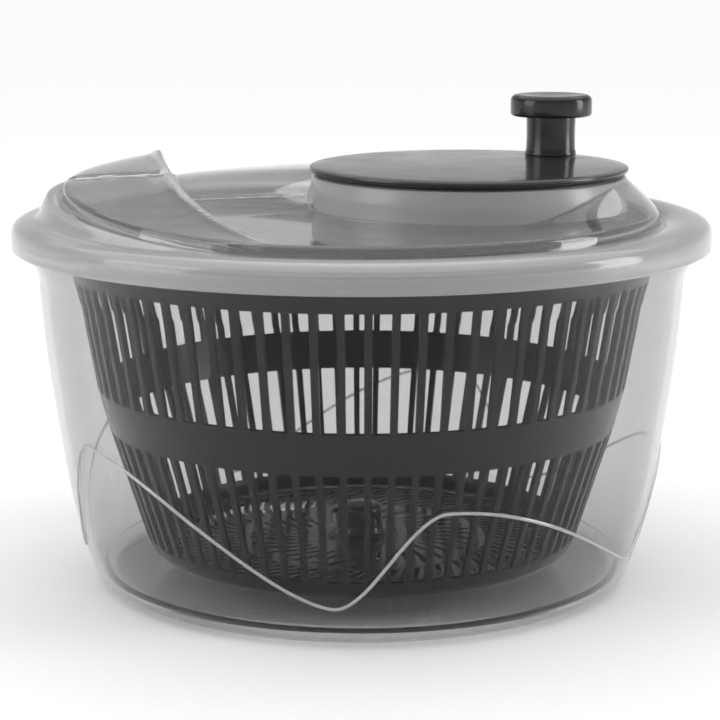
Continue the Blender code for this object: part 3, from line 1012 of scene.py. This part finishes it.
@dataclass
class Knob:
    """Turning knob: a waisted stem under a flat round cap."""

    at: tuple[float, float] = (73.4, 34.0)
    base: float = 156.0
    stem: float = 9.5
    stem_top: float = 172.6
    cap: float = 15.7
    cap_low: float = 171.2
    cap_top: float = 179.4

    def stem_shape(self) -> bmesh.types.BMesh:
        """Turn the hollow stem, with a small collar at its foot.

        Returns:
            The closed stem, in millimetres.
        """
        r, base = self.stem, self.base
        outline = ([(r + 0.4, base + 0.4), (r + 0.4, base + 1.2), (r + 0.2, base + 1.7)]
                   + smooth_path([(r, base + 2.6), (r - 0.15, base + 8.0),
                                  (r, self.stem_top - 1.0)], 4)
                   + [(r - 0.3, self.stem_top), (7.5, self.stem_top), (7.5, 168.4),
                      (4.8, 168.4), (4.8, base), (r + 0.3, base)])
        return turned(outline, 72)

    def cap_shape(self) -> bmesh.types.BMesh:
        """Turn the round cap, slightly hollowed on top, with rounded edges.

        Returns:
            The closed cap, in millimetres.
        """
        r, low, top = self.cap, self.cap_low, self.cap_top
        outline = ([(0.0, 173.8), (9.9, 173.8), (9.9, low + 0.3), (10.2, low)]
                   + arc((r - 1.2, low + 1.2), 1.2, -90, 0, 5)
                   + arc((r - 2.4, top - 2.4), 2.4, 0, 82, 8)
                   + [(r - 4.0, top), (r - 6.0, top - 0.12), (4.0, top - 0.35),
                      (0.0, top - 0.38)])
        return turned(outline, 96, closed=False)

    def build(self, finishes: Finishes) -> None:
        """Make the stem and the cap."""
        stem = make_piece("knob_turning_stem", self.stem_shape(), finishes.knob, Body.KNOB,
                          at=self.at)
        cap = make_piece("knob_round_cap", self.cap_shape(), finishes.knob, Body.KNOB,
                         at=self.at)
        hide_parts("knob_stem")
        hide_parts("knob_cap")


# ---------------------------------------------------------------- drive plate
@dataclass
class DrivePlate:
    """Ribbed plate that closes the basket, with lugs that turn it."""

    radius: float = 103.4
    low: float = 134.4
    top: float = 136.4
    ribs: int = 16
    rib_size: tuple[float, float, float] = (76.0, 1.4, 0.9)
    rib_at: float = 56.5

    def plate(self) -> bmesh.types.BMesh:
        """Turn the stepped plate, with a hub and a turned-down edge.

        Returns:
            The closed plate, in millimetres.
        """
        r, low, top = self.radius, self.low, self.top
        outline = ([(4.3, 130.0), (9.0, 130.0), (9.0, low - 0.6), (9.6, low), (r - 2.8, low),
                    (r - 2.2, low - 0.6), (r - 2.2, 129.0), (r, 129.0)]
                   + arc((r - 1.0, top - 1.0), 1.0, 0, 90, 5)
                   + [(96.0, top), (95.4, top - 0.6), (60.6, top - 0.6), (60.0, top),
                      (56.0, top), (55.4, top - 0.6), (16.6, top - 0.6), (16.0, top),
                      (4.3, top)])
        return turned(outline, 160)

    def rib_ring(self) -> bmesh.types.BMesh:
        """Lay low radial ribs on the plate's top.

        Returns:
            The ribs, in millimetres.
        """
        shape = bmesh.new()
        for i in range(self.ribs):
            made = bmesh.ops.create_cube(shape, size=1.0)["verts"]
            bmesh.ops.scale(shape, vec=self.rib_size, verts=made)
            bmesh.ops.translate(shape, vec=(self.rib_at, 0.0, self.top - 0.5), verts=made)
            turn = Matrix.Rotation(2 * pi * (i + 0.5) / self.ribs, 4, "Z")
            bmesh.ops.transform(shape, matrix=turn, verts=made)
        bmesh.ops.bevel(shape, geom=shape.edges[:], offset=0.2, affect="EDGES", segments=2,
                        profile=0.5, material=-1)
        return shape

    def lugs(self) -> bmesh.types.BMesh:
        """Bend four lugs that reach into the basket's notches.

        Returns:
            The four closed lugs, in millimetres.
        """
        shape = bmesh.new()
        for quarter in range(4):
            points = [shape.verts.new((r, 0.0, z)) for r, z in
                      ((101.4, 119.8), (103.3, 119.8), (103.3, 129.5), (101.4, 129.5))]
            face = shape.faces.new(points)
            turn = Matrix.Rotation(radians(90 * quarter - 5.2), 4, "Z")
            bmesh.ops.transform(shape, matrix=turn, verts=points)
            bmesh.ops.spin(shape, geom=[face], cent=(0, 0, 0), axis=(0, 0, 1),
                           angle=radians(10.4), steps=6, use_merge=False)
        return shape

    def build(self, finishes: Finishes) -> None:
        """Make the plate, its ribs and its lugs."""
        plate = make_piece("basket_cover_plate", self.plate(), finishes.plate, Body.DRIVER)
        make_piece("plate_ribs", self.rib_ring(), finishes.plate, Body.DRIVER)
        make_piece("plate_lugs", self.lugs(), finishes.plate, Body.DRIVER)
        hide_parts("drive_plate")


# ---------------------------------------------------------------- studio
@dataclass(frozen=True)
class SoftBox:
    """A soft light beside the spinner, with sizes in metres."""

    name: str
    at: tuple[float, float, float]
    size: tuple[float, float]
    watts: float


@dataclass
class Studio:
    """Pale floor, soft lights and the camera, with sizes in metres."""

    camera_at: tuple[float, float, float] = (0.0, -0.8325, 0.2432)
    pitch: float = 0.192
    shift: float = -0.0021
    lens: float = 111.6
    world: float = 0.42
    horizon: float = 0.88
    overhead: float = 1.92
    overhead_angle: float = 100.0
    overhead_lean: float = -8.0
    glow_height: float = 0.24
    floor_size: float = 60.0
    floor_drop: float = 0.0004
    aim: tuple[float, float, float] = (0.0, 0.0, 0.1)
    boxes: tuple[SoftBox, ...] = (
        SoftBox("right_box", (1.5, -0.1, 0.45), (0.5, 0.9), 8.5),
        SoftBox("left_box", (-1.4, -0.5, 0.6), (0.9, 1.1), 8.0))

    def floor(self) -> None:
        """Lay the pale floor."""
        shape = bmesh.new()
        bmesh.ops.create_grid(shape, x_segments=1, y_segments=1, size=self.floor_size / 2)
        mesh = bpy.data.meshes.new("studio_floor")
        shape.to_mesh(mesh)
        shape.free()
        material, shader = new_material("pale_floor")
        shader.inputs["Base Color"].default_value = (0.93, 0.93, 0.925, 1.0)
        shader.inputs["Roughness"].default_value = 0.9
        shader.inputs["Specular IOR Level"].default_value = 0.0
        mesh.materials.append(material)
        floor = bpy.data.objects.new("studio_floor", mesh)
        floor.location.z = -self.floor_drop
        bpy.context.scene.collection.objects.link(floor)

    def light(self, box: SoftBox) -> None:
        """Hang a soft box that faces the spinner.

        Args:
            box: The light to hang.
        """
        data = bpy.data.lights.new(box.name, "AREA")
        data.shape = "RECTANGLE"
        data.size, data.size_y = box.size
        data.energy = box.watts
        lamp = bpy.data.objects.new(box.name, data)
        lamp.location = box.at
        aim = Vector(self.aim) - Vector(box.at)
        lamp.rotation_euler = aim.to_track_quat("-Z", "Y").to_euler()
        bpy.context.scene.collection.objects.link(lamp)

    def glow(self) -> None:
        """Make the pale surroundings, brightest at the horizon."""
        world = bpy.data.worlds.new("soft_studio")
        world.use_nodes = True
        nodes, links = world.node_tree.nodes, world.node_tree.links
        glow = nodes["Background"]
        glow.inputs["Color"].default_value = (1.0, 1.0, 1.0, 1.0)
        place = nodes.new("ShaderNodeTexCoord")
        split = nodes.new("ShaderNodeSeparateXYZ")
        fall = range_node(world.node_tree, (0.0, self.glow_height), (self.horizon, self.world))
        links.new(place.outputs["Generated"], split.inputs["Vector"])
        links.new(split.outputs["Z"], fall.inputs["Value"])
        links.new(fall.outputs["Result"], glow.inputs["Strength"])
        bpy.context.scene.world = world

    def overhead_light(self) -> None:
        """Add the broad light from above."""
        data = bpy.data.lights.new("overhead_glow", "SUN")
        data.energy = self.overhead
        data.angle = radians(self.overhead_angle)
        lamp = bpy.data.objects.new("overhead_glow", data)
        lamp.rotation_euler = (radians(self.overhead_lean), 0.0, 0.0)
        bpy.context.scene.collection.objects.link(lamp)

    def camera(self) -> None:
        """Set up the camera."""
        data = bpy.data.cameras.new("view")
        data.sensor_width = 36.0
        data.lens = self.lens
        data.clip_start = 0.01
        data.shift_x = self.shift
        camera = bpy.data.objects.new("view", data)
        camera.location = self.camera_at
        camera.rotation_euler = (pi / 2 - self.pitch, 0.0, 0.0)
        bpy.context.scene.collection.objects.link(camera)
        bpy.context.scene.camera = camera

    def build(self) -> None:
        """Set up the surroundings, the floor, the lights and the camera."""
        self.glow()
        bpy.context.scene.view_settings.view_transform = "Standard"
        self.floor()
        self.overhead_light()
        for box in self.boxes:
            self.light(box)
        self.camera()


def main() -> None:
    """Build the spinner around the frame."""
    logging.basicConfig(level=logging.INFO, format="%(message)s")
    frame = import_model()
    nodes = frame["nodes"]
    Studio().build()
    finishes = Finishes()
    for part in (Bowl(), Basket(), Lid(), Crank(), Knob(), DrivePlate()):
        LOG.info("building %s", type(part).__name__)
        part.build(finishes)
    # The gears' dark colour is painted shade inside the tower.
    keep_nodes(nodes, ["ring_gear", "pinion", "crank_bush", "pinion_bush", "pivot_bush"],
               finishes.gears_painted_shade)
    keep_nodes(nodes, [n for n in nodes if n.endswith(("washer", "clip")) or "screw" in n],
               finishes.steel)


if __name__ == "__main__":
    main()
